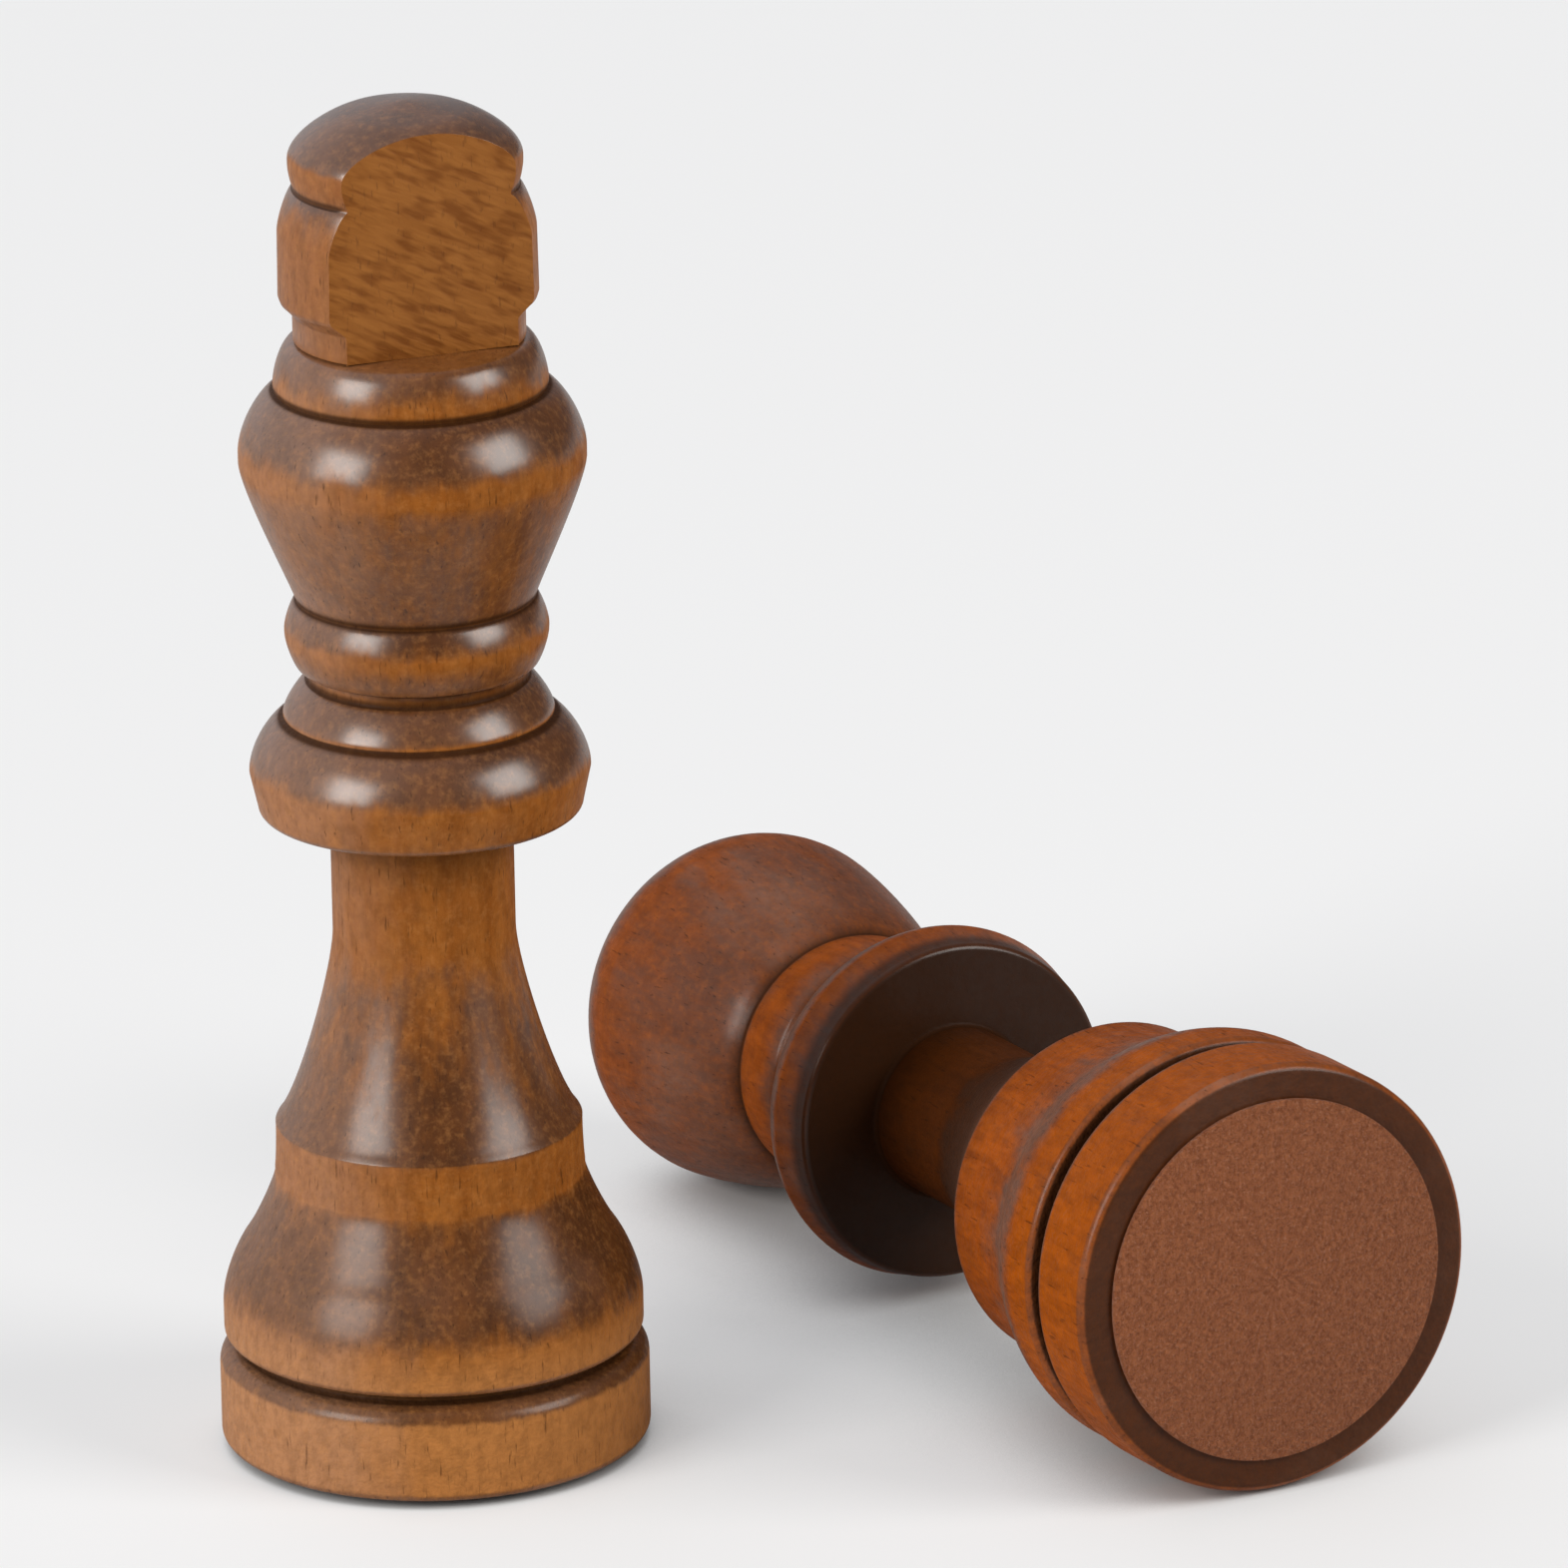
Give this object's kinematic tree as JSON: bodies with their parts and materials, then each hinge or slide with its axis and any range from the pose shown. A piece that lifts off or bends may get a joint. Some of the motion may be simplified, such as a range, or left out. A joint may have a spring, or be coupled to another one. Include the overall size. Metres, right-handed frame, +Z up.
{
  "type": "chess king and queen pair",
  "caption": "Turned wooden chess king standing, with a felted queen lying on its side, both with felt-covered weighted bases.",
  "frame": {"origin": "on the floor under the king's axis, at the underside of the king's felt", "axes": "+Z up along the king's axis, -Y towards the front, +X to the right, where the queen lies"},
  "size_m": [0.0727, 0.0728, 0.0819],
  "materials": {
    "king_wood": "stained brown and lacquered, glossy",
    "finial_wood": "stained, sawn faces matt, turned sides lacquered",
    "queen_wood": "stained brown and lacquered, glossy",
    "weight_metal": "plain cut slug",
    "felt": "reddish-brown pressed felt"
  },
  "bodies": {
    "king": {"king_body": "king_wood", "king_finial": "finial_wood", "king_weight": "weight_metal", "king_felt": "felt"},
    "queen": {"queen_body": "queen_wood", "queen_finial": "queen_wood", "queen_weight": "weight_metal", "queen_felt": "felt"}
  },
  "joints": [
    {"name": "queen_lift", "type": "slide", "parent": "king", "child": "queen", "axis": [0, 0, 1], "range_m": [0, 0.1]}
  ]
}
